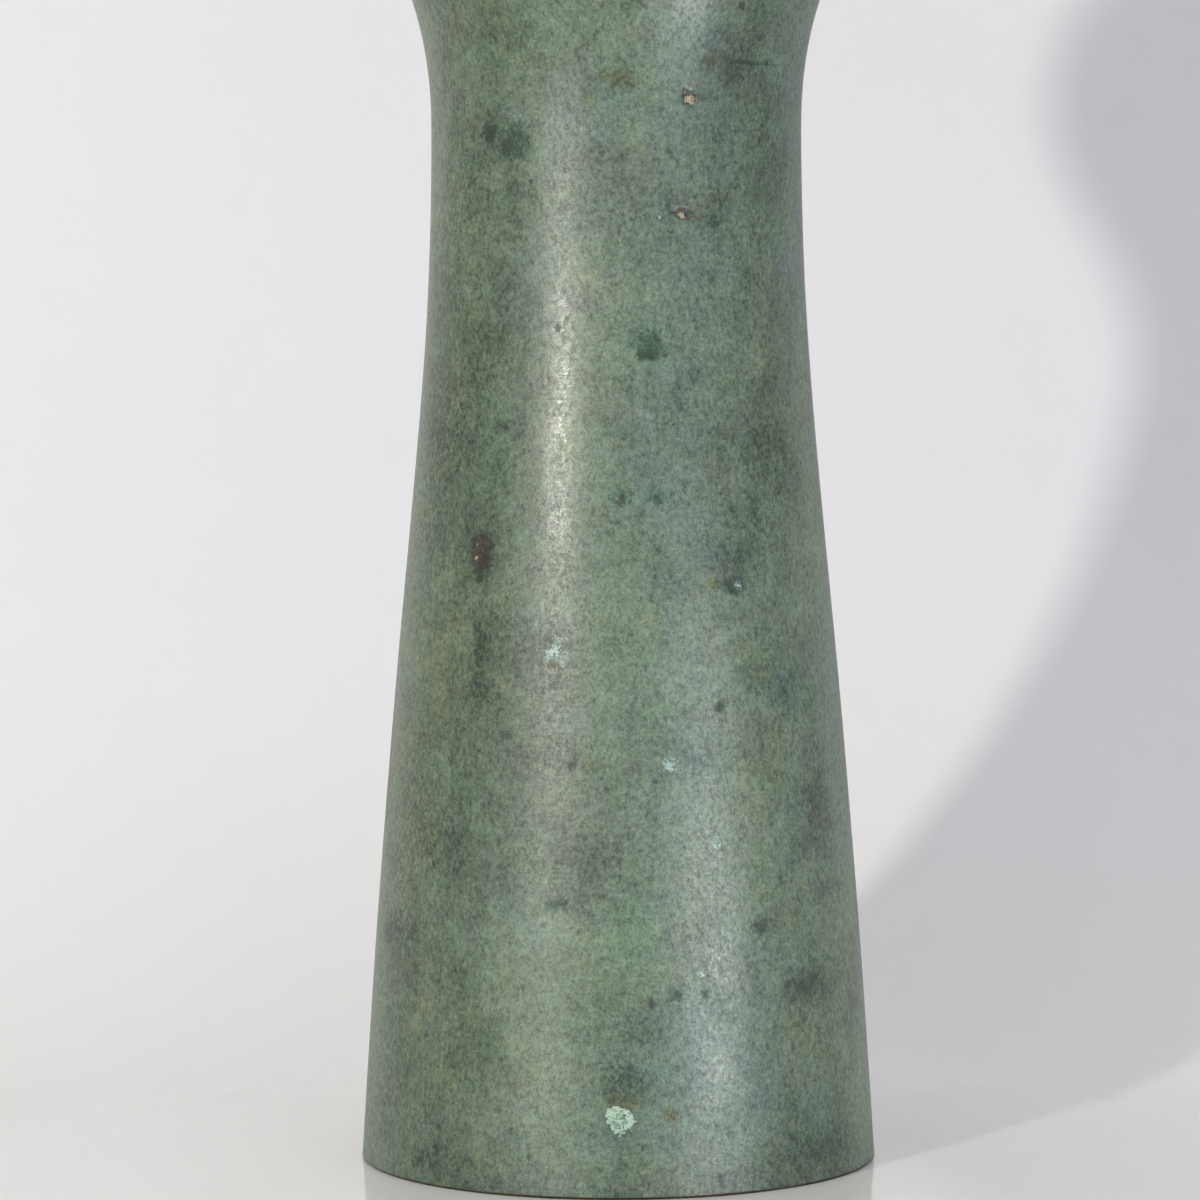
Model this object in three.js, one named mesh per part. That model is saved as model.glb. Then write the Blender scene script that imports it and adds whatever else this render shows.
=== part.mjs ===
// A cast and turned bronze vase with a green patina. The body is one casting from foot to lip.
// A round base plate is let into the foot from below, against a ledge, and a solder fillet seals it.
// Millimetres, +Z up, with the origin at the centre of the face that the foot stands on.

import * as THREE from 'three';

// Outline of the body, from the foot up
const footRadius = 47;
const footLean = 3.5;            // degrees that the wall leans inwards where it leaves the foot
const stemHeight = 188;          // from the standing face to the neck
const neckRadius = 33.6;
const flareHeight = 65;          // from the neck to the widest ring of the head
const headRadius = 54.6;
const shoulderRadius = 40;       // arc that closes the head in above its widest ring
const shoulderTurn = 42;         // degrees of that arc, up to the lip

// How far each end of a curve holds its direction, as a share of the curve's own rise
const footHold = 0.61;
const neckHoldBelow = 0.295;
const neckHoldAbove = 0.56;
const headHold = 0.34;

// Wall and foot of the casting
const wall = 3;
const footEdge = 0.5;            // chamfer worn round the outer edge of the foot
const footRingWidth = 5.5;       // from the outside of the foot to the rebate
const ledgeWidth = 3.5;          // step that the base plate seats against
const ledgeDepth = 4;            // thickness of the ring above the step
const ledgeSlope = 5;            // rise of the slope from that ring out to the wall

// Base plate and the solder round it
const plateRecess = 3;           // from the standing face up to the plate
const plateThickness = 2.5;
const plateEdge = 0.4;
const seatClearance = 0.3;       // between the casting, the plate and the solder
const filletLeg = 1.8;

// Facets
const roundSteps = 48;
const stemSteps = 12;
const flareSteps = 14;
const shoulderSteps = 6;
const lipSteps = 6;
const filletSteps = 4;

const radians = THREE.MathUtils.degToRad;
const point = (radius, height) => new THREE.Vector2(radius, height);

const headHeight = stemHeight + flareHeight;
const rebateRadius = footRadius - footRingWidth;
const ledgeRadius = rebateRadius - ledgeWidth;
const ledgeHeight = plateRecess + plateThickness + seatClearance;
const plateRadius = rebateRadius - seatClearance;

// The outside from the foot to the neck: leaning in, then upright at the neck
function stemCurve() {
  const rise = stemHeight - footEdge;
  const hold = footHold * rise;
  return new THREE.CubicBezierCurve(
    point(footRadius, footEdge),
    point(footRadius - hold * Math.tan(radians(footLean)), footEdge + hold),
    point(neckRadius, stemHeight - neckHoldBelow * rise),
    point(neckRadius, stemHeight),
  );
}

// The outside from the neck to the widest ring of the head, upright at both ends
function flareCurve() {
  return new THREE.CubicBezierCurve(
    point(neckRadius, stemHeight),
    point(neckRadius, stemHeight + neckHoldAbove * flareHeight),
    point(headRadius, headHeight - headHold * flareHeight),
    point(headRadius, headHeight),
  );
}

// An arc of the shoulder: the full radius is the outside, and less than that is within the wall
function shoulderArc(radius) {
  const centre = headRadius - shoulderRadius;
  return new THREE.EllipseCurve(centre, headHeight, radius, radius, 0, radians(shoulderTurn));
}

// The lip is half a circle as thick as the wall, from the outside over to the inside
function lipArc() {
  const middle = shoulderArc(shoulderRadius - wall / 2).getPoint(1);
  const start = radians(shoulderTurn);
  return new THREE.EllipseCurve(middle.x, middle.y, wall / 2, wall / 2, start, start + Math.PI);
}

// Points of a curve moved square to it, towards the axis, by the thickness of the wall
function insideOf(curve, steps, start = 0) {
  const points = [];
  for (let step = 0; step <= steps; step += 1) {
    const share = start + (1 - start) * (step / steps);
    const along = curve.getTangent(share);
    const onCurve = curve.getPoint(share);
    points.push(point(onCurve.x - wall * along.y, onCurve.y + wall * along.x));
  }
  return points;
}

// The share of a rising curve at which it reaches a height, by halving the stretch that holds it
function shareAtHeight(curve, height) {
  let below = 0;
  let above = 1;
  for (let halving = 0; halving < 24; halving += 1) {
    const middle = (below + above) / 2;
    if (curve.getPoint(middle).y < height) below = middle;
    else above = middle;
  }
  return above;
}

// A solid of revolution about the vertical axis, from a closed outline
function turned(outline) {
  const closed = [...outline, outline[0].clone()];
  const geometry = new THREE.LatheGeometry(closed, roundSteps);
  geometry.rotateX(Math.PI / 2);
  return geometry;
}

function vaseBody() {
  const outside = [
    ...stemCurve().getPoints(stemSteps),
    ...flareCurve().getPoints(flareSteps).slice(1),
    ...shoulderArc(shoulderRadius).getPoints(shoulderSteps).slice(1),
    ...lipArc().getPoints(lipSteps).slice(1, -1),
  ];
  const ringTop = ledgeHeight + ledgeDepth;
  const slopeTop = shareAtHeight(stemCurve(), ringTop + ledgeSlope);
  const inside = [
    ...insideOf(stemCurve(), stemSteps, slopeTop),
    ...insideOf(flareCurve(), flareSteps).slice(1),
    ...shoulderArc(shoulderRadius - wall).getPoints(shoulderSteps).slice(1),
  ];
  const foot = [
    point(ledgeRadius, ringTop),
    point(ledgeRadius, ledgeHeight),
    point(rebateRadius, ledgeHeight),
    point(rebateRadius, 0),
    point(footRadius - footEdge, 0),
  ];
  return turned([...outside, ...inside.reverse(), ...foot]);
}

function basePlate() {
  const top = plateRecess + plateThickness;
  return turned([
    point(0, plateRecess),
    point(plateRadius - plateEdge, plateRecess),
    point(plateRadius, plateRecess + plateEdge),
    point(plateRadius, top),
    point(0, top),
  ]);
}

// The fillet fills the corner under the plate, with its hollow face towards the axis
function solderFillet() {
  const outer = plateRadius;
  const top = plateRecess - seatClearance;
  const hollow = new THREE.EllipseCurve(
    outer - filletLeg, top - filletLeg, filletLeg, filletLeg, Math.PI / 2, 0, true,
  );
  return turned([point(outer, top), ...hollow.getPoints(filletSteps)]);
}

function piece(name, geometry, color, roughness, metalness) {
  const material = new THREE.MeshStandardMaterial({ color, roughness, metalness });
  const mesh = new THREE.Mesh(geometry, material);
  mesh.name = name;
  return mesh;
}

const vase = new THREE.Group();
vase.add(piece('vase_body', vaseBody(), 0x71806f, 0.42, 0.35));
vase.add(piece('base_plate', basePlate(), 0x6b5a41, 0.55, 0.7));
vase.add(piece('solder_fillet', solderFillet(), 0x7d7f7c, 0.6, 0.8));

export default vase;
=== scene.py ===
import bpy
import math
import random
import numpy as np
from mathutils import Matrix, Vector, noise


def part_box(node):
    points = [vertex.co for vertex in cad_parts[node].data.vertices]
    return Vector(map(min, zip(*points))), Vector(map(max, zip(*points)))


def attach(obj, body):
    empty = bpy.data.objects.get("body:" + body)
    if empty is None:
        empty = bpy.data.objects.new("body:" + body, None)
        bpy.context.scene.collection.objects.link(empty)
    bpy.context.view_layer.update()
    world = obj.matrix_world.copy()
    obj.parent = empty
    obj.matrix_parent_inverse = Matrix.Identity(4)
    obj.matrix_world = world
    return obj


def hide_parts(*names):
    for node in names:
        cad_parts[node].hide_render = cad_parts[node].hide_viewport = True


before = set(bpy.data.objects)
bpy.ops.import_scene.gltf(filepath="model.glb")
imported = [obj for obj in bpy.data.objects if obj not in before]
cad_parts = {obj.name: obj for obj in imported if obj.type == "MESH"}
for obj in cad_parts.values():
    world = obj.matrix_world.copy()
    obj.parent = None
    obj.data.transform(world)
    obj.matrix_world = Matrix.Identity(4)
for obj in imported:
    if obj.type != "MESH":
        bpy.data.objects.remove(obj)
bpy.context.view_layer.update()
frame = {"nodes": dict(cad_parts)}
mm = 0.001
print("frame loaded:", ", ".join(frame["nodes"]))


# Small tools used by every piece and material

def linear(hexColour):  # sRGB hex to the linear colour that a socket takes
    parts = [int(hexColour[k:k + 2], 16) / 255 for k in (1, 3, 5)]
    return [c / 12.92 if c <= 0.04045 else ((c + 0.055) / 1.055) ** 2.4 for c in parts] + [1.0]


def newMaterial(name):
    material = bpy.data.materials.new(name)
    material.use_nodes = True
    tree = material.node_tree
    tree.nodes.clear()
    surface = addNode(tree, "BsdfPrincipled", output=None)
    addNode(tree, "OutputMaterial", {"Surface": surface.outputs["BSDF"]}, None)
    return material, tree, surface


def addNode(tree, kind, inputs=(), output=0, **settings):
    # inputs go by name or in order, each a value, a hex colour or the socket to link from, and what
    # comes back is one of the outputs, or the node itself where output is None
    node = tree.nodes.new("ShaderNode" + kind)
    for name, value in settings.items():
        setattr(node, name, value)
    for name, value in inputs.items() if isinstance(inputs, dict) else enumerate(inputs):
        if isinstance(value, bpy.types.NodeSocket):
            tree.links.new(value, node.inputs[name])
        else:
            node.inputs[name].default_value = linear(value) if isinstance(value, str) else value
    return node if output is None else node.outputs[output]


def startPiece(name):  # the primitive just added becomes the named piece, open for editing
    piece = bpy.context.object
    piece.name = piece.data.name = name
    bpy.ops.object.mode_set(mode="EDIT")
    bpy.ops.mesh.select_mode(type="VERT")
    bpy.ops.mesh.select_all(action="SELECT")
    return piece


def finishPiece(piece, material, slot, *nodes):
    bpy.ops.object.mode_set(mode="OBJECT")
    piece.data.materials.clear()
    piece.data.materials.append(material)
    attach(piece, "root")
    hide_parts(*nodes)
    print(piece.name, len(piece.data.polygons), "faces")


def turnOutline(name, outline, steps):  # one vertex is drawn round the outline, then turned on the axis
    bpy.ops.object.select_all(action="DESELECT")
    bpy.ops.mesh.primitive_plane_add(size=0.001, location=(0, 0, 0))
    piece = startPiece(name)
    bpy.ops.mesh.merge(type="CENTER")
    here = Vector((outline[0][0], 0, outline[0][1]))
    bpy.ops.transform.translate(value=here)
    for radius, height in outline[1:]:
        there = Vector((radius, 0, height))
        bpy.ops.mesh.extrude_region_move(TRANSFORM_OT_translate={"value": there - here})
        here = there
    bpy.ops.mesh.select_all(action="SELECT")
    bpy.ops.mesh.spin(steps=steps, angle=2 * math.pi, center=(0, 0, 0), axis=(0, 0, 1))
    bpy.ops.mesh.select_all(action="SELECT")
    bpy.ops.mesh.remove_doubles(threshold=0.00002)
    bpy.ops.mesh.normals_make_consistent(inside=False)
    return piece


# Camera at the photograph's place: a long lens, ten degrees above the foot

view = {
    "distance": 0.860,
    "elevation": 10.1,   # degrees, seen from the centre of the foot
    "tilt": 3.31,        # degrees that the lens looks down
    "turn": 0.213,       # degrees that it looks to the left of the axis
    "roll": -0.13,
    "lens": 139.3,
    "sensor": 36.0,
}

camera = bpy.data.objects.new("camera", bpy.data.cameras.new("camera"))
bpy.context.scene.collection.objects.link(camera)
bpy.context.scene.camera = camera
lift = math.radians(view["elevation"])
camera.location = (0, -view["distance"] * math.cos(lift), view["distance"] * math.sin(lift))
camera.rotation_euler = [math.radians(a) for a in (90 - view["tilt"], 0, view["turn"])]
camera.rotation_euler.rotate_axis("Z", math.radians(view["roll"]))
camera.data.lens = view["lens"]
camera.data.sensor_width = view["sensor"]
print("camera set")


# The vase's body. Its outline repeats the casting's own sizes, in metres.

body = {
    "footRadius": 47 * mm,
    "footLean": 3.5,          # degrees
    "stemHeight": 188 * mm,
    "neckRadius": 33.6 * mm,
    "flareHeight": 65 * mm,
    "headRadius": 54.6 * mm,
    "shoulderRadius": 40 * mm,
    "shoulderTurn": 42,       # degrees
    "footHold": 0.61,
    "neckHoldBelow": 0.295,
    "neckHoldAbove": 0.56,
    "headHold": 0.34,
    "wall": 3 * mm,
    "footEdge": 0.5 * mm,
    "rebateRadius": 41.5 * mm,
    "ledgeRadius": 38 * mm,
    "ledgeHeight": 5.8 * mm,
    "ringTop": 9.8 * mm,
    "slopeTop": 14.8 * mm,
    "turns": 240,             # faces round the axis
    "stemSteps": 140,
    "flareSteps": 56,
    "shoulderSteps": 22,
    "lipSteps": 9,
    "insideShare": 0.3,       # the inside needs fewer rings than the outside
    "smoothAngle": 35,
}


def curvePoint(ends, share):
    a, b, c, d = [np.array(p) for p in ends]
    rest = 1 - share
    return rest ** 3 * a + 3 * rest ** 2 * share * b + 3 * rest * share ** 2 * c + share ** 3 * d


def curveSide(ends, share):  # unit vector square to the curve, towards the axis
    step = curvePoint(ends, min(share + 0.001, 1)) - curvePoint(ends, max(share - 0.001, 0))
    step /= np.linalg.norm(step)
    return np.array((-step[1], step[0]))


def bodyOutline(size):
    headHeight = size["stemHeight"] + size["flareHeight"]
    rise = size["stemHeight"] - size["footEdge"]
    lean = math.tan(math.radians(size["footLean"]))
    hold = size["footHold"] * rise
    stem = [
        (size["footRadius"], size["footEdge"]),
        (size["footRadius"] - hold * lean, size["footEdge"] + hold),
        (size["neckRadius"], size["stemHeight"] - size["neckHoldBelow"] * rise),
        (size["neckRadius"], size["stemHeight"]),
    ]
    flare = [
        stem[3],
        (size["neckRadius"], size["stemHeight"] + size["neckHoldAbove"] * size["flareHeight"]),
        (size["headRadius"], headHeight - size["headHold"] * size["flareHeight"]),
        (size["headRadius"], headHeight),
    ]
    middle = np.array((size["headRadius"] - size["shoulderRadius"], headHeight))
    stop = math.radians(size["shoulderTurn"])

    def arc(centre, radius, start, end, steps):
        angles = np.linspace(start, end, steps + 1)
        return [centre + radius * np.array((math.cos(a), math.sin(a))) for a in angles]

    def line(ends, steps, depth, start=0):
        shares = np.linspace(start, 1, steps + 1)
        return [curvePoint(ends, s) + depth * curveSide(ends, s) for s in shares]

    wall = size["wall"]
    lipCentre = middle + (size["shoulderRadius"] - wall / 2) * np.array((math.cos(stop), math.sin(stop)))
    outside = line(stem, size["stemSteps"], 0)
    outside += line(flare, size["flareSteps"], 0)[1:]
    outside += arc(middle, size["shoulderRadius"], 0, stop, size["shoulderSteps"])[1:]
    outside += arc(lipCentre, wall / 2, stop, stop + math.pi, size["lipSteps"])[1:]
    fewer = size["insideShare"]
    slopeShare = next(s for s in np.linspace(0, 1, 400) if curvePoint(stem, s)[1] > size["slopeTop"])
    inside = line(stem, int(size["stemSteps"] * fewer), wall, slopeShare)
    inside += line(flare, int(size["flareSteps"] * fewer), wall)[1:]
    inside += arc(middle, size["shoulderRadius"] - wall, 0, stop, int(size["shoulderSteps"] * fewer))[1:-1]
    foot = [
        (size["ledgeRadius"], size["ringTop"]),
        (size["ledgeRadius"], size["ledgeHeight"]),
        (size["rebateRadius"], size["ledgeHeight"]),
        (size["rebateRadius"], 0),
        (size["footRadius"] - size["footEdge"], 0),
    ]
    return outside + inside[::-1] + foot + [outside[0]]


# Marks on the patina, each by its turn round the axis (degrees, 0 at the front, to the right
# positive) and its height (mm), then half its width and half its height (mm), its strength,
# and how deep it is eaten into the wall (mm, or raised where that is below 0).

marks = {
    "mint": [  # pale, powdery carbonate
        (0.5, 13.9, 2.1, 1.7, 1.0, -0.14),
        (-0.7, 14.9, 1.5, 1.0, 1.0, -0.10),
        (2.0, 14.5, 0.9, 0.9, 1.0, -0.10),
        (-19.6, 176.4, 0.35, 0.5, 0.6, 0.0),
    ],
    "rust": [  # brown oxide where the metal was eaten
        (-38.6, 111.2, 2.2, 2.7, 1.1, 0.34),
        (22.2, 191.6, 1.5, 1.3, 0.9, 0.30),
        (20.2, 171.4, 1.5, 1.1, 0.8, 0.24),
    ],
    "crust": [  # olive-brown crust round a flaw
        (0.8, 17.0, 2.8, 1.3, 1.3, 0.06),
        (29.0, 198.3, 2.0, 1.0, 0.9, 0.10),
        (37.2, 198.4, 1.5, 0.5, 0.9, 0.08),
        (11.5, 14.6, 1.0, 1.0, 1.2, 0.05),
        (-38.3, 114.4, 1.0, 0.9, 1.1, 0.05),
        (1.4, 194.5, 2.6, 1.8, 0.7, 0.0),
        (-3.8, 195.8, 0.8, 0.6, 1.0, 0.08),
        (-8.7, 191.0, 1.4, 2.2, 0.5, 0.0),
        (7.3, 33.8, 0.6, 0.6, 1.0, 0.10),
        (-37.6, 37.8, 0.9, 0.7, 1.0, 0.12),
        (24.0, 170.9, 1.8, 1.0, 0.8, 0.05),
        (-6.5, 75.4, 1.0, 0.9, 0.7, 0.04),
        (-16.2, 92.6, 1.3, 1.0, 0.8, 0.05),
        (26.8, 106.8, 1.4, 1.0, 0.9, 0.05),
        (50.3, 185.6, 1.0, 2.0, 0.6, 0.05),
        (43.0, 192.5, 2.2, 1.0, 0.4, 0.02),
    ],
    "fleck": [  # pale crumbs of bright metal and salts
        (22.6, 191.3, 1.3, 1.0, 1.2, -0.08),
        (19.9, 171.1, 0.8, 0.7, 1.1, -0.06),
        (-40.7, 111.0, 0.5, 0.5, 1.0, 0.0),
        (-40.6, 113.4, 0.3, 0.3, 0.9, 0.0),
        (-15.9, 95.2, 2.4, 2.4, 0.82, 0.0),
        (-13.9, 92.6, 0.4, 0.4, 1.0, -0.02),
        (13.0, 75.2, 2.2, 1.8, 0.8, 0.0),
        (23.6, 61.2, 1.3, 1.1, 0.75, 0.0),
        (20.3, 40.4, 1.1, 0.18, 1.4, 0.0),
        (19.7, 38.6, 0.3, 0.3, 1.3, 0.0),
        (12.9, 170.7, 0.30, 0.30, 1.0, -0.02),
        (33.6, 106.2, 0.9, 1.0, 0.9, 0.0),
        (19.5, 98.5, 1.0, 0.8, 0.35, 0.0),
        (-32.5, 189.0, 2.4, 1.6, 0.4, 0.0),
        (6.2, 11.3, 2.0, 0.14, 0.5, 0.0),
    ],
    "spot": [  # soft dark-green oxide
        (9.0, 148.4, 2.6, 2.2, 0.9, 0.08),
        (9.5, 147.1, 2.0, 1.4, 1.5, 0.12),
        (-39.3, 108.2, 1.1, 1.5, 0.8, 0.06),
        (1.0, 20.8, 3.4, 3.4, 0.45, 0.0),
        (10.8, 121.9, 1.3, 1.3, 0.8, 0.06),
        (0.8, 121.9, 1.8, 1.6, 0.5, 0.05),
        (-32.0, 184.0, 3.4, 3.0, 0.9, 0.05),
        (-30.5, 182.4, 1.6, 1.4, 1.0, 0.05),
        (-41.9, 186.0, 1.8, 1.6, 0.9, 0.05),
        (32.0, 106.0, 1.9, 1.4, 1.0, 0.12),
        (30.5, 170.0, 1.5, 1.4, 0.8, 0.05),
        (-37.5, 96.0, 1.8, 9.0, 0.35, 0.03),
        (46.0, 198.0, 6.0, 0.30, 0.8, 0.04),
        (-10.7, 75.7, 0.9, 0.8, 0.7, 0.05),
        (-13.9, 51.0, 2.4, 1.2, 0.7, 0.04),
        (26.3, 85.3, 0.9, 0.8, 0.9, 0.10),
        (12.8, 35.2, 1.2, 1.0, 0.7, 0.05),
        (20.1, 35.2, 1.0, 0.9, 0.6, 0.03),
        (34.4, 46.3, 1.6, 1.2, 0.8, 0.05),
        (-17.4, 151.3, 0.6, 0.8, 0.8, 0.05),
    ],
    "pit": [  # small open casting pits, and black crumbs
        (-18.5, 151.5, 0.25, 0.22, 1.0, 0.06), (-20.0, 142.5, 0.22, 0.25, 1.0, 0.06),
        (-15.5, 120.0, 0.32, 0.22, 1.0, 0.06), (-26.5, 177.0, 0.43, 0.36, 1.0, 0.06),
        (-41.0, 185.0, 0.50, 0.43, 0.9, 0.06), (-54.0, 195.0, 0.29, 0.36, 0.9, 0.05),
        (-17.0, 206.0, 0.36, 0.29, 0.9, 0.05), (38.0, 207.5, 0.43, 0.43, 1.0, 0.07),
        (47.0, 207.0, 0.43, 0.36, 1.0, 0.07), (51.0, 201.5, 0.32, 0.32, 0.9, 0.05),
        (46.5, 196.0, 0.43, 0.29, 0.8, 0.04), (50.0, 187.0, 0.40, 0.32, 1.0, 0.06),
        (49.0, 184.5, 0.36, 0.58, 0.9, 0.05), (45.5, 184.5, 0.25, 0.22, 0.9, 0.05),
        (38.5, 180.5, 0.32, 0.32, 0.9, 0.05), (36.0, 187.0, 0.25, 0.22, 0.8, 0.04),
        (56.5, 165.0, 0.29, 0.36, 1.0, 0.07), (42.0, 158.5, 0.22, 0.32, 0.8, 0.05),
        (16.0, 134.5, 0.25, 0.25, 0.8, 0.05), (4.5, 112.5, 0.25, 0.25, 1.0, 0.07),
        (61.0, 100.0, 0.25, 0.36, 1.0, 0.07), (5.0, 94.5, 0.32, 0.25, 0.8, 0.04),
        (9.0, 72.5, 0.50, 0.32, 0.9, 0.05), (-1.0, 59.5, 0.29, 0.25, 1.0, 0.06),
        (5.0, 63.5, 0.43, 0.32, 0.8, 0.04), (-4.0, 73.0, 0.36, 0.43, 0.7, 0.03),
        (-39.0, 98.5, 0.36, 0.43, 0.9, 0.05), (-38.0, 89.0, 0.36, 0.36, 0.9, 0.05),
        (-34.0, 86.0, 0.40, 0.36, 0.9, 0.05), (-44.5, 60.0, 0.43, 0.36, 1.0, 0.06),
        (-50.0, 57.0, 0.43, 0.43, 0.9, 0.05), (33.4, 46.9, 0.32, 0.65, 1.4, 0.07),
        (34.9, 45.7, 0.65, 0.25, 1.4, 0.07), (32.4, 45.5, 0.24, 0.24, 1.4, 0.06),
        (7.5, 34.0, 0.25, 0.22, 0.9, 0.05), (35.0, 5.5, 0.36, 0.36, 1.0, 0.07),
        (22.5, 3.0, 0.36, 0.29, 1.0, 0.07), (26.0, 2.5, 0.29, 0.22, 0.9, 0.06),
    ],
}

# Wide soft stains: turn, height, half width, half height, strength
hazes = {
    # the ones 2 to 6 mm up make the wall darker towards the foot
    "dark": [
        (-44, 149, 7, 5, 1.0), (-47, 139, 5, 11, 0.8), (-33, 134, 3, 2, 0.8), (-39, 114, 4, 6, 0.6),
        (-36, 91, 4, 13, 0.6), (-43, 61, 7, 5, 0.5), (-59, 44, 5, 3, 0.6), (-38, 37, 3, 2, 0.5),
        (-4, 57, 6, 7, 0.6), (22, 172, 8, 3, 0.4), (38, 198, 6, 6, 0.9), (51, 190, 5, 9, 0.5),
        (47, 140, 4, 3, 0.6), (48, 132, 6, 4, 0.8), (38, 116, 4, 7, 0.5), (30, 110, 5, 4, 0.8),
        (47, 87, 4, 3, 0.6), (57, 67, 4, 8, 0.6), (57, 51, 5, 3, 0.5), (51, 36, 7, 3, 0.9),
        (5, 33, 5, 4, 0.4), (52, 6, 12, 3, 1.0), (-47, 5, 8, 2, 0.6), (-50, 117, 5, 6, 0.5),
        (-39, 186, 5, 4, 0.5), (-52, 128, 5, 8, 0.8), (-41, 112, 5, 7, 1.2), (-38, 126, 4, 5, 0.5),
        (-40, 120, 5, 4, 1.1), (-58, 134, 8, 26, 0.7), (-38, 74, 7, 8, 0.6), (-58, 62, 8, 20, 0.4),
        (26, 2, 30, 4, 0.7), (9, 150, 3, 2, 0.6), (-37, 119, 4, 3, 0.7), (-57, 142, 5, 9, 0.5),
        (-20, 117, 3, 6, 0.6), (-48, 169, 4, 4, 0.5), (-35, 205, 4, 4, 0.4), (-56, 22, 7, 12, 0.4),
        (26, 58, 4, 4, 0.5), (48, 116, 4, 6, 0.4), (0, 179, 11, 4, 0.3), (24, 147, 9, 4, 0.35),
        (-33, 190, 4, 4, 0.45), (55, 158, 4, 5, 0.35), (20, 41, 4, 5, 0.4), (2, 54, 3, 4, 0.8),
    ],
    "pale": [
        (-22, 31, 7, 11, 1.0), (-18, 47, 7, 6, 0.8), (10, 31, 3, 6, 0.8), (9, 72, 5, 7, 0.8),
        (33, 63, 4, 17, 0.7), (-4, 147, 5, 11, 0.5), (4, 203, 7, 6, 0.5), (25, 177, 5, 9, 0.4),
        (1, 81, 6, 7, 0.5), (21, 97, 5, 7, 0.4), (-25, 16, 7, 6, 1.1), (16, 28, 6, 9, 0.8),
        (18, 84, 8, 8, 0.7), (1, 47, 6, 7, 0.6), (24, 14, 8, 8, 0.8), (18, 196, 6, 6, 0.6),
        (6, 60, 5, 7, 0.4), (-32, 189, 2, 2, 0.8), (-9, 33, 5, 5, 0.6), (2, 38, 4, 4, 0.7), (2, 7, 6, 3, 0.6),
        (34, 179, 4, 4, 0.5), (-29, 32, 5, 6, 0.8), (2, 116, 5, 6, 0.5), (4, 96, 6, 8, 0.5),
        (-27, 32, 4, 5, 1.4),
    ],
    "leaf": [
        (2, 47, 6, 7, 1.0), (0, 16, 4, 4, 0.6), (-2, 97, 4, 22, 0.5), (7, 148, 5, 9, 0.5),
        (-29, 25, 3, 3, 0.6), (1, 193, 6, 6, 0.5), (-26, 202, 10, 6, 0.5), (-4, 35, 13, 17, 0.5),
        (13, 80, 6, 9, 0.5), (-11, 59, 6, 6, 0.4),
    ],
    "teal": [
        (26, 201, 6, 6, 0.9), (-8, 172, 4, 4, 0.7), (18, 134, 7, 20, 0.4), (29, 111, 4, 3, 0.9),
        (-17, 97, 5, 3, 0.4), (18, 76, 6, 3, 0.5), (22, 31, 4, 6, 0.8), (12, 22, 8, 9, 0.9),
        (25, 13, 7, 5, 0.8), (-5, 17, 4, 3, 0.5), (47, 87, 4, 3, 0.9), (-13, 183, 4, 4, 0.5),
        (37, 121, 5, 4, 0.4), (60, 150, 10, 50, 0.15), (23, 183, 6, 8, 0.5), (-10, 169, 6, 4, 0.4),
        (32, 22, 6, 10, 0.8), (1, 12, 7, 4, 0.5), (-46, 122, 5, 7, 0.3), (-28, 160, 7, 10, 0.5),
        (-14, 188, 8, 13, 0.5), (24, 160, 12, 12, 0.5), (38, 128, 5, 6, 0.4), (0, 27, 5, 6, 0.6),
        (48, 12, 8, 8, 0.5), (8, 13, 6, 5, 0.7), (9, 150, 4, 3, 0.7), (29, 111, 3, 3, 0.5),
        (-32, 189, 3, 2, 0.7),
    ],
    "olive": [
        (-62, 120, 14, 110, 0.7), (-30, 196, 14, 12, 0.4), (-14, 30, 14, 26, 0.3), (6, 92, 9, 22, 0.15),
        (52, 128, 12, 26, 0.3), (-5, 130, 8, 26, 0.15), (-56, 60, 10, 40, 0.3),
        (34, 73, 7, 15, 0.6), (27, 68, 7, 13, 0.4),
    ],
    "grey": [
        (-17, 96, 5, 4, 0.6), (-20, 77, 10, 3, 0.8), (-17, 60, 7, 7, 0.4), (58, 67, 4, 8, 1.0),
        (59, 51, 5, 2, 0.5), (-68, 43, 5, 4, 0.6), (-12, 59, 8, 3, 0.5), (22, 193, 4, 3, 0.4),
        (49, 192, 6, 3, 0.5), (57, 181, 4, 9, 0.5), (-17, 87, 4, 13, 0.5), (50, 35, 6, 3, 0.4),
        (38, 196, 5, 4, 0.4),
    ],
    "gloss": [
        (24, 203, 5, 7, 1.0), (22, 24, 6, 9, 0.8), (-16, 135, 5, 22, 0.4), (-17, 158, 5, 8, 0.6),
    ],
}

# The side away from the camera gets marks of the same kinds, at seeded places: how many of each,
# and between which turns and heights
elsewhere = {
    "seed": 7, "mint": 3, "rust": 5, "crust": 10, "fleck": 7, "spot": 14, "pit": 24,
    "dark": 26, "pale": 12, "leaf": 10, "teal": 14, "olive": 8, "grey": 12, "gloss": 4,
    "grow": (0.7, 1.25), "turns": (92, 268), "heights": (12, 265),
    "headTurns": (-70, 70), "headHeights": (215, 268), "headShare": 3,  # so many times fewer there
}


def addHiddenMarks():
    draw = random.Random(elsewhere["seed"])
    for kind, seen in list(marks.items()) + list(hazes.items()):
        likes = list(seen)
        for _ in range(elsewhere[kind]):
            like = draw.choice(likes)
            grow = draw.uniform(*elsewhere["grow"])
            turn = draw.uniform(*elsewhere["turns"])
            height = draw.uniform(*elsewhere["heights"])
            seen.append((turn, height, like[2] * grow, like[3] * grow) + like[4:])
    for kind, seen in hazes.items():  # the head above the picture too
        likes = list(seen)
        for _ in range(elsewhere[kind] // elsewhere["headShare"]):
            like = draw.choice(likes)
            turn = draw.uniform(*elsewhere["headTurns"])
            height = draw.uniform(*elsewhere["headHeights"])
            seen.append((turn, height) + like[2:])


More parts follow.
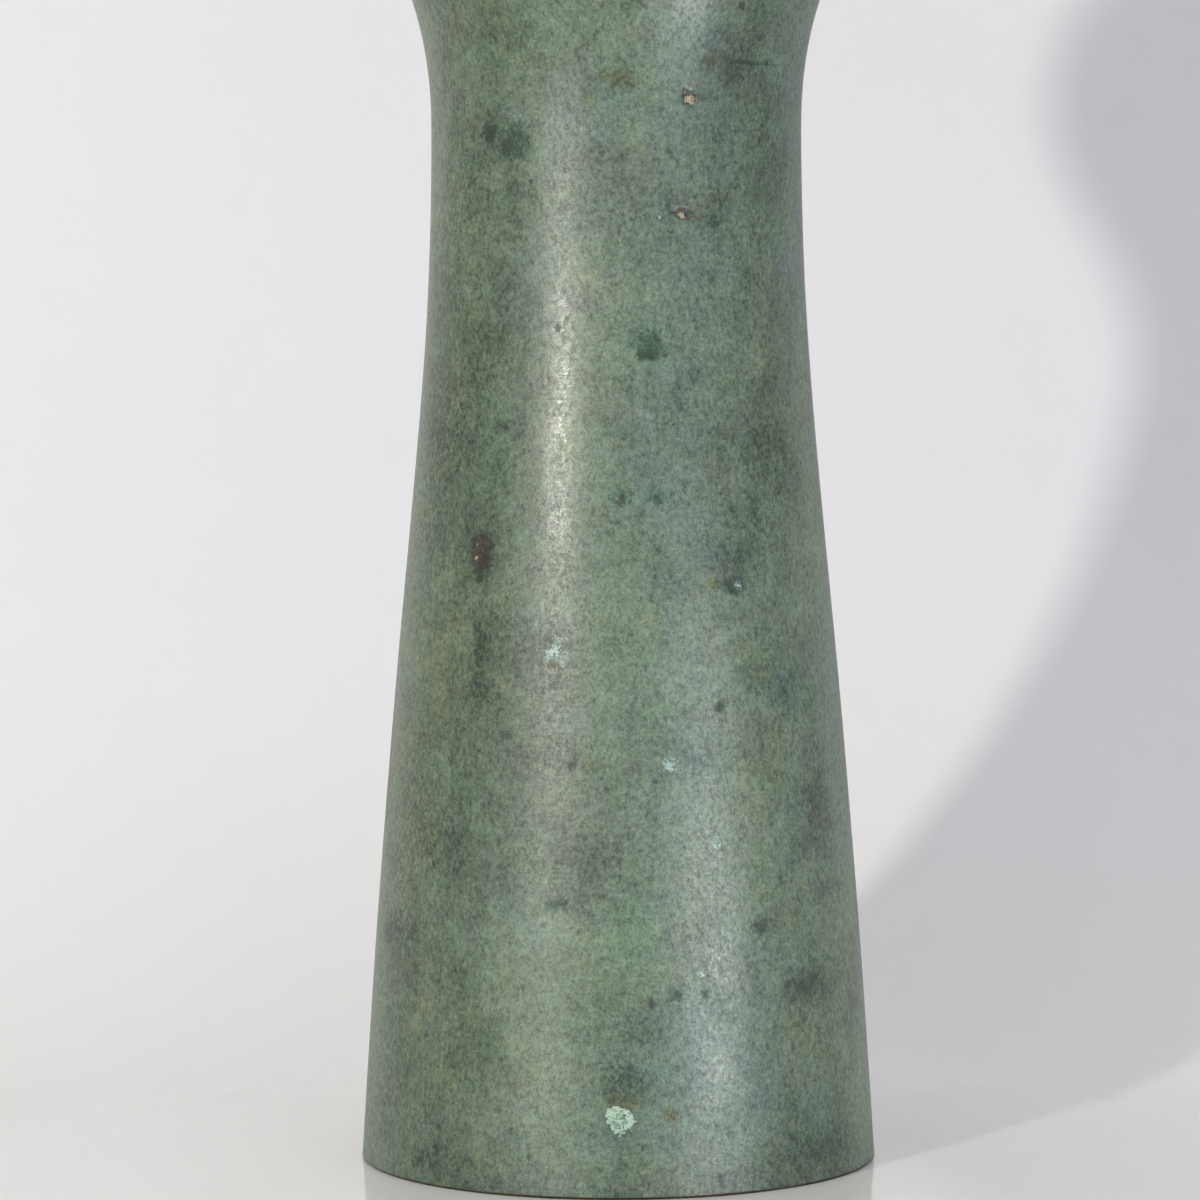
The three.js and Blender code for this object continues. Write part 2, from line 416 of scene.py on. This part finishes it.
relief = {
    "reaches": (2.2, 1.6),        # how far round a mark the faces are halved, first and second
    "leastReach": 0.9,            # mm past the edge of the smallest marks
    "ragged": (520, 0.55),        # noise that breaks up a mark: how fine it is, and how strong
    "raggedShift": (3, 5, 7),
    "raggedUpTo": 2,              # mm of half width, wider marks are broken up less
    "grain": (900, 0.22),
    "fineGrain": (2300, 0.12),
    "paintReach": 1.6,            # where a mark's colour ends, in half widths from its middle
    "hollowReach": 1.25,          # the same for its hollow
    "stainFade": 0.9,             # how soon a soft stain fades outwards
    "swell": 38,                  # the casting's own unevenness, how fine and how deep
    "swellDepth": 0.07 * mm,
}


def markDistance(places, mark):  # 1 at the mark's edge, 0 at its middle
    turn, height, halfWidth, halfHeight = mark[:4]
    radius = np.hypot(places[:, 0], places[:, 1])
    angle = np.arctan2(places[:, 0], -places[:, 1]) - math.radians(turn)
    angle = (angle + math.pi) % (2 * math.pi) - math.pi
    across = angle * radius / (halfWidth * mm)
    along = (places[:, 2] - height * mm) / (halfHeight * mm)
    return np.hypot(across, along)


def outsideOf(piece):  # which vertices are on the outer wall, by the way they face
    count = len(piece.data.vertices)
    places = np.empty(count * 3)
    normals = np.empty(count * 3)
    piece.data.vertices.foreach_get("co", places)
    piece.data.vertices.foreach_get("normal", normals)
    places = places.reshape(-1, 3)
    normals = normals.reshape(-1, 3)
    outward = places[:, 0] * normals[:, 0] + places[:, 1] * normals[:, 1] > 0
    above = places[:, 2] > body["footEdge"] / 2  # the ring that it stands on is left plain
    return places, normals, outward & above


def refineAtMarks(piece):  # smaller faces where the relief is finer than the rings
    for reach in relief["reaches"]:
        bpy.ops.object.mode_set(mode="OBJECT")
        places, normals, outer = outsideOf(piece)
        near = np.zeros(len(places), bool)
        for seen in marks.values():
            for mark in seen:
                least = 1 + relief["leastReach"] / min(mark[2], mark[3])
                near |= markDistance(places, mark) < max(reach, least)
        near &= outer
        bpy.ops.object.mode_set(mode="EDIT")
        bpy.ops.mesh.select_all(action="DESELECT")
        bpy.ops.object.mode_set(mode="OBJECT")
        for face in piece.data.polygons:
            face.select = all(near[v] for v in face.vertices)
        bpy.ops.object.mode_set(mode="EDIT")
        bpy.ops.mesh.select_mode(type="FACE")
        bpy.ops.mesh.subdivide(number_cuts=1)
    bpy.ops.object.mode_set(mode="OBJECT")


bakeMap = {"insideShare": 0.2, "margin": 0.002}


def layOutForBake(piece, outline):  # the outer wall takes most of the map, as one unrolled sheet
    line = np.array(outline)
    widest = np.hypot(*(line[1:] - line[:-1]).T)
    outerCount = body["stemSteps"] + body["flareSteps"] + body["shoulderSteps"] + body["lipSteps"] // 2
    widest[outerCount:] *= bakeMap["insideShare"]
    along = np.concatenate([[0], np.cumsum(widest)])
    along /= along[-1]
    places = np.empty(len(piece.data.vertices) * 3)
    piece.data.vertices.foreach_get("co", places)
    places = places.reshape(-1, 3)
    radius = np.hypot(places[:, 0], places[:, 1])
    nearest = [np.argmin(np.hypot(line[:-1, 0] - r, line[:-1, 1] - z)) for r, z in zip(radius, places[:, 2])]
    up = along[nearest]
    turn = np.arctan2(places[:, 0], -places[:, 1]) / (2 * math.pi) + 0.5
    layer = piece.data.uv_layers.new(name="OFBake")
    for face in piece.data.polygons:
        spots = np.array([(turn[v] % 1, up[v]) for v in face.vertices])
        for axis in (0, 1):  # faces on a seam reach to the map's far edge
            if np.ptp(spots[:, axis]) > 0.5:
                spots[spots[:, axis] < 0.5, axis] += 1
        for loop, spot in zip(face.loop_indices, spots):
            layer.data[loop].uv = bakeMap["margin"] + (1 - 2 * bakeMap["margin"]) * spot


def shapeMarks(piece):
    places, normals, outer = outsideOf(piece)
    masks = {kind: np.zeros(len(places)) for kind in list(marks) + list(hazes)}
    sink = np.zeros(len(places))
    scale, strength = relief["grain"]
    grain = np.array([noise.noise(Vector(p) * scale) for p in places]) * strength
    scale, strength = relief["fineGrain"]
    grain += np.array([noise.noise(Vector(p) * scale) for p in places]) * strength
    scale, strength = relief["ragged"]
    shift = Vector(relief["raggedShift"])
    ragged = np.array([noise.noise(Vector(p) * scale + shift) for p in places]) * strength
    ragged += grain
    for kind, seen in marks.items():
        for mark in seen:
            far = markDistance(places, mark) + ragged * min(1, relief["raggedUpTo"] / mark[2])
            paint = np.clip(1 - far / relief["paintReach"], 0, 1) * mark[4]
            masks[kind] = np.maximum(masks[kind], paint * outer)
            hollow = np.clip(relief["hollowReach"] - far - grain, 0, 1)
            sink += hollow ** 2 * (3 - 2 * hollow) * mark[5] * mm * outer
    for kind, seen in hazes.items():
        for mark in seen:
            far = markDistance(places, mark)
            paint = np.exp(-(far * relief["stainFade"]) ** 2) * mark[4]
            masks[kind] = np.maximum(masks[kind], paint * outer)
    # the casting is a little uneven everywhere, never outwards
    swell = np.array([noise.noise(Vector(p) * relief["swell"]) for p in places])
    sink += (0.5 + 0.5 * swell) * relief["swellDepth"] * outer
    places = places - normals * sink[:, None]
    piece.data.vertices.foreach_set("co", places.ravel())
    for kind, mask in masks.items():
        layer = piece.data.attributes.new(kind, "FLOAT", "POINT")
        layer.data.foreach_set("value", mask)
    layer = piece.data.attributes.new("inside", "FLOAT", "POINT")
    layer.data.foreach_set("value", (~outer).astype(float))
    piece.data.update()


def makeBody(material):
    addHiddenMarks()
    outline = bodyOutline(body)
    piece = turnOutline("vaseBody", outline, body["turns"])
    bpy.ops.object.mode_set(mode="OBJECT")
    layOutForBake(piece, outline)
    bpy.ops.object.mode_set(mode="EDIT")
    bpy.ops.mesh.select_mode(type="FACE")
    refineAtMarks(piece)
    shapeMarks(piece)
    bpy.ops.object.select_all(action="DESELECT")
    piece.select_set(True)
    bpy.context.view_layer.objects.active = piece
    bpy.ops.object.shade_smooth_by_angle(angle=math.radians(body["smoothAngle"]))
    finishPiece(piece, material, "patinated_bronze", "vase_body")
    return piece


# Patinated bronze: cast, turned and coloured with copper salts, then waxed. The eye sees a
# mottled stone-like green, olive in places and blue-green or violet-grey in others, a fine dark
# grain, thin rings from turning in the highlight, and brown or powdery spots round casting pits.

patina = {
    "olive": "#5d684b", "teal": "#4f625a", "green": "#556a54", "grey": "#565d52",
    "leaf": "#45674a",
    "speck": "#232b24",
    "mint": "#a2bcab", "mintShade": "#6d8a76",
    "rust": "#161008", "rustLight": "#433419", "rustRim": "#10120a",
    "crust": "#56603a", "crustDark": "#2a3724",
    "fleck": "#a89d84", "fleckCool": "#93b0a6",
    "spot": "#345f41", "spotDark": "#1b2a20", "spotCore": "#0c2b08",
    "copper": "#6f4a37", "edge": "#2f2a24", "footDarkening": "#2b3129",
    "insideGreen": "#4a5546", "insideBrown": "#453b2c",
    "light": 1.055,        # how light the whole coat is before the pepper
    "tone": 2.7,           # how strongly the mottling lightens and darkens it
    "grain": -2.3,         # the same for the finest grain
    "grainSize": 0.8,      # mm
    "grainStretch": 0.72,  # the finest grain stands a little upright
    "toneBy": {"pale": 0.28, "grey": -0.16, "dark": -0.46, "teal": -0.12},  # what each stain adds
    "leastTone": 0.2,
    "greener": 1.14,       # the darker the coat, the greener
    "pepper": 0.15,        # how much the specks darken it
    "speckSize": 4,        # mm between the places where a larger dark speck may be
    "wornHeight": (0.65 * mm, 0.47 * mm),   # the bare line at the foot, where it starts and is whole
    "footDarkeningHeight": (8.6 * mm, 6.4 * mm),
    "roughness": 0.40,
    "ior": 1.66,           # copper minerals bend light more than varnish does
    "ringScale": (220, 220, 2400),          # turning rings, drawn out round the axis
    "relief": 0.03 * mm,
}

# Blotches in the coat: size in mm, detail, roughness, and a shift so that none repeats another
blotchKinds = {
    "drift": (46, 2, 0.6, 0.0),
    "oxide": (19, 4, 0.9, 0.77),
    "mottle": (14, 5, 1.0, 0.17),
    "moss": (12, 3, 0.9, 0.41),
    "rub": (9, 3, 0.7, 0.29),
    "hue": (6, 2, 1.0, 0.63),
    "freckle": (3.4, 3, 0.9, 0.35),
    "tide": (3.2, 4, 0.9, 0.47),
    "vein": (1.5, 4, 0.9, 0.81),
    "crumb": (0.75, 2, 0.8, 0.9),
    "grit": (0.42, 1, 0.6, 0.55),
}
asColour = {"output": 2, "data_type": "RGBA"}
smooth = {"interpolation_type": "SMOOTHSTEP"}


def perMetre(size):  # a noise scale from the size of a blotch in millimetres
    return 1 / (size * mm)


def weigh(tree, start, terms):  # the start plus every share times its amount
    for share, amount in terms:
        start = addNode(tree, "Math", (share, amount, start), operation="MULTIPLY_ADD")
    return start


def layOn(tree, colour, layers):  # each layer's own colour, its share, and the most that it covers
    for over, share, most in layers:
        if most < 1:
            share = addNode(tree, "Math", (share, most), operation="MULTIPLY")
        colour = addNode(tree, "Mix", {0: share, 6: colour, 7: over}, **asColour)
    return colour


def patinaMaterial():
    material, tree, surface = newMaterial("cast bronze, green patina, waxed")
    place = addNode(tree, "TexCoord", output="Object")
    painted = {}
    for name in (*marks, *hazes, "inside"):
        painted[name] = addNode(tree, "Attribute", output="Fac", attribute_name=name)
    blotch = {}
    for name, (size, detail, rough, shift) in blotchKinds.items():
        moved = addNode(tree, "VectorMath", (place, (shift, shift, shift)))
        blotch[name] = addNode(tree, "TexNoise", {
            "Vector": moved, "Scale": perMetre(size), "Detail": detail, "Roughness": rough,
        })
    mottle = blotch["mottle"]
    upright = addNode(tree, "VectorMath", (place, (1, 1, patina["grainStretch"])), operation="MULTIPLY")
    fine = addNode(tree, "TexNoise", {
        "Vector": upright, "Scale": perMetre(patina["grainSize"]), "Detail": 2, "Roughness": 1.0,
    })

    def near(name, low, high, ragged=0.9, broken="crumb"):  # a painted mark, its edge broken by the grain
        value = addNode(tree, "Math", (blotch[broken], ragged, painted[name]), operation="MULTIPLY_ADD")
        share = addNode(tree, "MapRange", (value, low + ragged / 2, high + ragged / 2), **smooth)
        drawn = addNode(tree, "MapRange", (painted[name], 0.02, 0.12), **smooth)
        return addNode(tree, "Math", (share, drawn), operation="MULTIPLY")

    # hue: olive, green and blue-green drift over the wall, greyer where the oxide shows
    warmth = weigh(tree, -0.15, [
        (blotch["drift"], 0.7), (blotch["hue"], 0.6), (painted["olive"], 0.3), (painted["teal"], -0.4),
    ])
    oxide = weigh(tree, blotch["oxide"], [(painted["grey"], 0.3)])
    warmShare = addNode(tree, "MapRange", (warmth, 0.25, 0.75), **smooth)
    mossShare = addNode(tree, "MapRange", (blotch["moss"], 0.40, 0.64, 0.15, 0.9), **smooth)
    greyShare = addNode(tree, "MapRange", (oxide, 0.5, 0.72), **smooth)
    spotShare = near("spot", 0.0, 0.65, 1.2)
    crustShare = addNode(tree, "Math", (near("crust", 0.05, 0.6, 1.3), 0.9), operation="MULTIPLY")
    lighter = addNode(tree, "MapRange", (blotch["crumb"], 0.4, 0.58), **smooth)
    crust = layOn(tree, patina["crustDark"], [(patina["crust"], lighter, 1)])
    colour = layOn(tree, patina["teal"], [
        (patina["olive"], warmShare, 1), (patina["green"], mossShare, 1),
        (patina["grey"], greyShare, 0.6), (patina["leaf"], painted["leaf"], 0.5),
        (patina["spot"], spotShare, 0.8), (crust, crustShare, 1),
    ])

    # lightness: every size of blotch from 14 mm down to the grain counts alike
    freckle = addNode(tree, "MapRange", (blotch["freckle"], 0.54, 0.72), **smooth)
    tone = weigh(tree, 1.0 - (patina["tone"] + patina["grain"]) / 2, [
        (mottle, patina["tone"]), (fine, patina["grain"]), (greyShare, -0.12), (freckle, -0.22),
        (spotShare, -0.62), *[(painted[name], amount) for name, amount in patina["toneBy"].items()],
    ])
    tone = addNode(tree, "Math", (tone, patina["light"]), operation="MULTIPLY")

    # pepper: dark specks, thickest where the coat is dark
    thick = greyShare
    for name in ("dark", "grey", "spot"):
        thick = addNode(tree, "Math", (thick, painted[name]), operation="MAXIMUM")
    pepper = weigh(tree, fine, [(thick, 0.08), (mottle, -0.25)])
    pepper = addNode(tree, "MapRange", (pepper, 0.375, 0.555), **smooth)
    kept = weigh(tree, 1.0, [(pepper, -patina["pepper"])])
    tone = addNode(tree, "Math", (tone, kept), operation="MULTIPLY")
    tone = addNode(tree, "Math", (tone, patina["leastTone"]), operation="MAXIMUM")
    deep = addNode(tree, "Math", (tone, patina["greener"]), operation="POWER")
    shade = addNode(tree, "CombineColor", (deep, tone, deep))
    colour = addNode(tree, "Mix", {0: 1.0, 6: colour, 7: shade}, blend_type="MULTIPLY", **asColour)

    # a few larger dark specks, 0.3 to 0.8 mm wide
    cells = addNode(tree, "TexVoronoi", {"Vector": place, "Scale": perMetre(patina["speckSize"])}, None)
    pick = addNode(tree, "SeparateColor", {"Color": cells.outputs["Color"]}, "Red")
    reach = weigh(tree, 0.035, [(pick, 0.25)])
    speck = addNode(tree, "MapRange", (cells.outputs["Distance"], reach, 0.02), **smooth)
    chosen = addNode(tree, "Math", (pick, 0.28), operation="LESS_THAN")
    speck = addNode(tree, "Math", (speck, chosen), operation="MULTIPLY")

    # brown oxide, pale crumbs and powdery carbonate, each of two or three tints
    rustShare = near("rust", 0.35, 0.5, 1.4)
    lighter = addNode(tree, "MapRange", (blotch["crumb"], 0.45, 0.62), **smooth)
    rust = layOn(tree, patina["rust"], [
        (patina["rustLight"], lighter, 1), (patina["rustRim"], near("rust", 0.6, 0.42, 1.2), 1),
    ])
    bright = addNode(tree, "MapRange", (painted["fleck"], 0.0, 0.9), **smooth)
    fleckShare = near("fleck", 0.45, 0.62, 2.2, "grit")
    fleckShare = addNode(tree, "Math", (fleckShare, bright), operation="MULTIPLY")
    warm = addNode(tree, "MapRange", (painted["rust"], 0.1, 0.3), **smooth)
    darker = addNode(tree, "MapRange", (blotch["crumb"], 0.44, 0.36), **smooth)
    fleck = layOn(tree, patina["fleckCool"], [
        (patina["fleck"], warm, 1), (patina["rustLight"], darker, 1),
    ])
    mintShare = near("mint", 0.28, 0.40, 0.9)
    veined = addNode(tree, "MapRange", (blotch["vein"], 0.50, 0.58), **smooth)
    middle = addNode(tree, "MapRange", (painted["mint"], 0.35, 0.6), **smooth)
    veined = addNode(tree, "Math", (veined, middle), operation="MULTIPLY")
    dirt = addNode(tree, "MapRange", (blotch["grit"], 0.60, 0.66), **smooth)
    mint = layOn(tree, patina["mint"], [(patina["mintShade"], veined, 1), (patina["crust"], dirt, 1)])

    # darker towards the foot, and a thin dark line of bare metal along the foot's lower edge, rubbed coppery
    # in places
    height = addNode(tree, "SeparateXYZ", (place,), "Z")
    # the lowest centimetre or so is made darker towards the foot, its top edge wavering
    footDarkening = weigh(tree, height, [(blotch["tide"], 14 * mm)])
    footDarkening = addNode(tree, "MapRange", (footDarkening, *patina["footDarkeningHeight"]), **smooth)
    worn = weigh(tree, height, [(blotch["crumb"], 0.3 * mm)])
    worn = addNode(tree, "MapRange", (worn, *patina["wornHeight"]), **smooth)
    rubbed = addNode(tree, "MapRange", (blotch["rub"], 0.48, 0.6), **smooth)
    bare = layOn(tree, patina["edge"], [(patina["copper"], rubbed, 1)])

    # these lie over the coat, the later on top; the middle of a strong spot is crumbly and nearly black
    brown = addNode(tree, "MapRange", (mottle, 0.4, 0.6), **smooth)
    inside = layOn(tree, patina["insideGreen"], [(patina["insideBrown"], brown, 1)])
    colour = layOn(tree, colour, [
        (patina["spotCore"], near("spot", 0.7, 1.1, 1.6, "grit"), 0.8), (patina["speck"], speck, 0.85),
        (patina["spotDark"], near("rust", 0.0, 0.5), 0.6), (rust, rustShare, 1), (fleck, fleckShare, 1),
        (mint, mintShare, 1), (patina["speck"], near("pit", 0.2, 0.5, 1.0), 1),
        (patina["footDarkening"], footDarkening, 0.45), (bare, worn, 1), (inside, painted["inside"], 1),
    ])

    dry = addNode(tree, "Math", (spotShare, painted["teal"]), operation="MAXIMUM")
    rough = weigh(tree, patina["roughness"] - 0.425, [
        (mottle, 0.5), (fine, 0.35), (painted["gloss"], -0.09), (greyShare, 0.06), (dry, 0.12),
    ])
    for share, dull in ((mintShare, 0.85), (rustShare, 0.65), (crustShare, 0.6)):
        powdery = addNode(tree, "Math", (share, dull), operation="MULTIPLY")
        rough = addNode(tree, "Math", (rough, powdery), operation="MAXIMUM")

    # relief: fine grain, and rings left by the turning tool
    drawnOut = addNode(tree, "VectorMath", (place, patina["ringScale"]), operation="MULTIPLY")
    rings = addNode(tree, "TexNoise", {"Vector": drawnOut, "Scale": 1.0, "Detail": 1, "Roughness": 0.7})
    powder = addNode(tree, "Math", (mintShare, rustShare), operation="MAXIMUM")
    bumps = weigh(tree, rings, [(fine, 1.0), (pepper, -0.5), (powder, blotch["crumb"])])
    bump = addNode(tree, "Bump", {"Height": bumps, "Strength": 0.5, "Distance": patina["relief"]})

    metal = addNode(tree, "Math", (worn, 0.7), operation="MULTIPLY")
    for name, value in (("Base Color", colour), ("Roughness", rough), ("Metallic", metal), ("Normal", bump)):
        tree.links.new(value, surface.inputs[name])
    surface.inputs["IOR"].default_value = patina["ior"]
    return material


vaseBody = makeBody(patinaMaterial())


# Base plate: a turned bronze disc, let into the foot and darkened by handling and damp

plate = {
    "low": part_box("base_plate")[0],
    "high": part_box("base_plate")[1],
    "edge": 0.4 * mm,
    "rings": 9,               # shallow steps left by facing the disc
    "ringWidth": 0.4 * mm,
    "ringDepth": 0.08 * mm,
    "middleDepth": 0.3 * mm,
    "turns": 120,
    "smoothAngle": 35,
    "filmSize": 9, "filmDetail": 5, "filmGrain": 0.7,
    "dark": "#4b3c28", "light": "#7f6844",
    "metallic": 0.8, "roughness": 0.55,
}

# Soft solder run round the plate: dull mottled grey, its face hollow where it wets the foot's wall
solder = {
    "low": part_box("solder_fillet")[0],
    "high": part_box("solder_fillet")[1],
    "steps": 8,
    "turns": 160,
    "smoothAngle": 40,
    "filmSize": 3, "filmDetail": 4, "filmGrain": 0.5,
    "dark": "#5d5f5c", "light": "#94968f",
    "metallic": 0.9, "roughness": 0.5,
}


def filmedMetal(name, finish):  # bare metal under an uneven film, darker and lighter by its noise
    material, tree, surface = newMaterial(name)
    film = addNode(tree, "TexNoise", {
        "Vector": addNode(tree, "TexCoord", output="Object"), "Scale": perMetre(finish["filmSize"]),
        "Detail": finish["filmDetail"], "Roughness": finish["filmGrain"],
    })
    ramp = addNode(tree, "ValToRGB", {"Fac": film}, None)
    for stop, place, colour in zip(ramp.color_ramp.elements, (0.35, 0.7), (finish["dark"], finish["light"])):
        stop.position = place
        stop.color = linear(colour)
    tree.links.new(ramp.outputs["Color"], surface.inputs["Base Color"])
    surface.inputs["Metallic"].default_value = finish["metallic"]
    surface.inputs["Roughness"].default_value = finish["roughness"]
    return material


def makePlate():
    radius, edge = plate["high"][0], plate["edge"]
    low, high = plate["low"][2], plate["high"][2]
    outline = [(0.0, high), (radius - edge, high), (radius, high - edge)]
    outline += [(radius, low + edge), (radius - edge, low)]
    for ring in range(plate["rings"]):
        at = (radius - edge) * (1 - (ring + 0.5) / plate["rings"])
        width, depth = plate["ringWidth"], plate["ringDepth"]
        outline += [(at + width, low), (at, low + depth), (at - width, low)]
    outline += [(0.0, low + plate["middleDepth"])]
    piece = turnOutline("basePlate", outline, plate["turns"])
    bpy.ops.object.mode_set(mode="OBJECT")
    bpy.ops.object.shade_smooth_by_angle(angle=math.radians(plate["smoothAngle"]))
    finishPiece(piece, filmedMetal("turned bronze, darkened", plate), "darkened_bronze", "base_plate")


def makeSolder():
    outer, high = solder["high"][0], solder["high"][2]
    leg = high - solder["low"][2]
    outline = [(outer, high)]
    for step in range(solder["steps"] + 1):
        turn = math.pi / 2 * step / solder["steps"]
        outline.append((outer - leg + leg * math.sin(turn), high - leg + leg * math.cos(turn)))
    outline.append(outline[0])
    piece = turnOutline("solderFillet", outline, solder["turns"])
    bpy.ops.object.mode_set(mode="OBJECT")
    bpy.ops.object.shade_smooth_by_angle(angle=math.radians(solder["smoothAngle"]))
    finishPiece(piece, filmedMetal("soft solder, dull", solder), "soft_solder", "solder_fillet")


makePlate()
makeSolder()


# Studio: a glossy pale sheet swept up close behind the vase, seen only from its front, and a
# plain floor under it. A small key lamp from the left throws the shadow on the wall.

studio = {
    "halfWidth": 0.6,
    "front": -5.0,
    "bend": 0.221,            # radius of the sweep
    "bendStart": 0.059,       # behind the axis
    "bendSteps": 32,
    "top": 1.3,
    # painted light: the sheet is painted lighter and warmer low down and darker and cooler up the wall,
    # standing for the way the lamps fall on it
    "wall": "#ececf0",
    "table": "#f4f2ef",
    "wallFrom": 0.12,         # height at which the sheet has the wall's colour
    "matt": 0.6,
    "gloss": 0.1,             # round the foot, where the sheet mirrors it
    "glossMiddle": (0, -0.04, 0),
    "glossReach": (0.09, 0.2),
    "floorSize": 30,
    "floorDrop": 0.002,
    "air": "#f5f9ff",
    "airLight": 0.34,
    "paleReach": (0.4, 2.2),  # beyond the lamps' reach the floor and the horizon are kept as pale
    "paleLight": 0.36,        # as the sheet, for what the camera sees straight or in a gloss
    "horizonShare": 0.93,
    "horizonRise": (0.09, 0.2),
}


def seenShare(tree):
    path = addNode(tree, "LightPath", output=None).outputs
    share = path["Is Camera Ray"]
    for name in ("Is Glossy Ray", "Is Transmission Ray"):
        share = addNode(tree, "Math", (share, path[name]), operation="MAXIMUM")
    return share


def sheetMaterial():
    material, tree, surface = newMaterial("glossy pale sheet")
    place = addNode(tree, "TexCoord", output="Object")
    height = addNode(tree, "SeparateXYZ", (place,), "Z")
    # painted light: lighter and warmer on the table, darker and cooler up the wall
    rise = addNode(tree, "MapRange", (height, 0.0, studio["wallFrom"]))
    tint = addNode(tree, "Mix", {0: rise, 6: studio["table"], 7: studio["wall"]}, **asColour)
    away = addNode(tree, "VectorMath", (place, studio["glossMiddle"]), "Value", operation="DISTANCE")
    toMatt = (away, *studio["glossReach"], studio["gloss"], studio["matt"])
    sheen = addNode(tree, "MapRange", toMatt, **smooth)
    tree.links.new(tint, surface.inputs["Base Color"])
    tree.links.new(sheen, surface.inputs["Roughness"])
    back = addNode(tree, "NewGeometry", output="Backfacing")
    clear = addNode(tree, "BsdfTransparent")
    both = addNode(tree, "MixShader", (back, surface.outputs["BSDF"], clear))
    output = next(n for n in tree.nodes if n.type == "OUTPUT_MATERIAL")
    tree.links.new(both, output.inputs["Surface"])
    return material


def floorMaterial():
    material, tree, surface = newMaterial("pale floor")
    surface.inputs["Base Color"].default_value = linear(studio["table"])
    surface.inputs["Roughness"].default_value = studio["matt"]
    place = addNode(tree, "TexCoord", output="Object")
    away = addNode(tree, "VectorMath", (place,), "Value", operation="LENGTH")
    glow = addNode(tree, "MapRange", (away, *studio["paleReach"], 0.0, studio["paleLight"]), **smooth)
    glow = addNode(tree, "Math", (glow, seenShare(tree)), operation="MULTIPLY")
    surface.inputs["Emission Color"].default_value = linear(studio["air"])
    tree.links.new(glow, surface.inputs["Emission Strength"])
    return material


def makeSweep():
    half, start, bend = studio["halfWidth"], studio["bendStart"], studio["bend"]
    bpy.ops.object.select_all(action="DESELECT")
    bpy.ops.mesh.primitive_plane_add(size=2, location=(0, 0, 0))
    sweep = startPiece("sweep")
    bpy.ops.mesh.select_all(action="DESELECT")
    bpy.ops.object.mode_set(mode="OBJECT")
    for vertex in sweep.data.vertices:
        vertex.select = vertex.co.y > 0
        vertex.co.x *= half
        vertex.co.y = start if vertex.select else studio["front"]
    bpy.ops.object.mode_set(mode="EDIT")
    bpy.ops.mesh.select_mode(type="VERT")
    bpy.ops.mesh.select_mode(type="EDGE")
    bpy.ops.mesh.spin(steps=studio["bendSteps"], angle=-math.pi / 2, center=(0, start, bend), axis=(1, 0, 0))
    bpy.ops.mesh.extrude_region_move(TRANSFORM_OT_translate={"value": (0, 0, studio["top"] - bend)})
    bpy.ops.mesh.select_all(action="SELECT")
    bpy.ops.mesh.remove_doubles(threshold=0.0001)
    bpy.ops.mesh.select_mode(type="FACE")
    bpy.ops.mesh.select_all(action="DESELECT")
    bpy.ops.object.mode_set(mode="OBJECT")
    for face in sweep.data.polygons:  # the front of the sheet faces up and forwards
        face.select = face.normal.z - face.normal.y < 0
    bpy.ops.object.mode_set(mode="EDIT")
    bpy.ops.mesh.flip_normals()
    bpy.ops.object.mode_set(mode="OBJECT")
    sweep.data.materials.append(sheetMaterial())
    bpy.ops.object.shade_smooth()
    bpy.ops.object.select_all(action="DESELECT")
    bpy.ops.mesh.primitive_plane_add(size=studio["floorSize"], location=(0, 0, -studio["floorDrop"]))
    floor = bpy.context.object
    floor.name = "floor"
    floor.data.materials.append(floorMaterial())
    print("sweep and floor set")


makeSweep()

# Turn in degrees round the vase, to the right positive; the rest in metres and watts. The front
# lamp is wide and soft, and the low one adds a highlight near the foot, on the vase alone.
lamps = {
    "key": {
        "turn": -32.9, "away": 1.66, "height": 0.52, "size": (0.09, 0), "power": 13.4, "tint": "#fff8ee",
    },
    "front": {
        "turn": 10, "away": 2.2, "height": 0.25, "size": (2.4, 0.5), "power": 4.0, "tint": "#f5f9ff",
    },
    "top": {
        "turn": 0, "away": 0.4, "height": 1.6, "size": (1.4, 1.4), "power": 7.4, "tint": "#f8faff",
    },
    "low": {
        "turn": 42, "away": 0.42, "height": 0.038, "size": (0.16, 0.07), "power": 0.6, "tint": "#f5f9ff",
    },
}
aimHeight = 0.13


def addLamp(name, lamp):
    light = bpy.data.lights.new(name, "AREA")
    light.shape = "RECTANGLE" if lamp["size"][1] else "DISK"
    light.size = lamp["size"][0]
    light.size_y = lamp["size"][1] or lamp["size"][0]
    light.energy = lamp["power"]
    light.color = linear(lamp["tint"])[:3]
    holder = bpy.data.objects.new(name, light)
    bpy.context.scene.collection.objects.link(holder)
    holder.visible_camera = False
    turn = math.radians(lamp["turn"])
    holder.location = (lamp["away"] * math.sin(turn), -lamp["away"] * math.cos(turn), lamp["height"])
    aim = Vector((0, 0, min(aimHeight, lamp["height"]))) - holder.location
    holder.rotation_euler = aim.to_track_quat("-Z", "Y").to_euler()


def screenLamp(name, piece):  # this lamp's light falls on the one piece alone
    lit = bpy.data.collections.new("lit by " + name)
    lit.objects.link(piece)
    bpy.data.objects[name].light_linking.receiver_collection = lit


for name, lamp in lamps.items():
    addLamp(name, lamp)
screenLamp("low", vaseBody)

world = bpy.data.worlds.new("studio air")
bpy.context.scene.world = world
world.use_nodes = True
sky = world.node_tree
direction = addNode(sky, "TexCoord", output="Generated")
rise = addNode(sky, "SeparateXYZ", (direction,), "Z")
pale = studio["paleLight"] * studio["horizonShare"]
horizon = addNode(sky, "MapRange", (rise, *studio["horizonRise"], pale, 0.0))
strength = addNode(sky, "Math", (horizon, seenShare(sky), studio["airLight"]), operation="MULTIPLY_ADD")
sky.nodes["Background"].inputs["Color"].default_value = linear(studio["air"])
sky.links.new(strength, sky.nodes["Background"].inputs["Strength"])
bpy.context.scene.view_settings.view_transform = "Standard"
print("studio set")
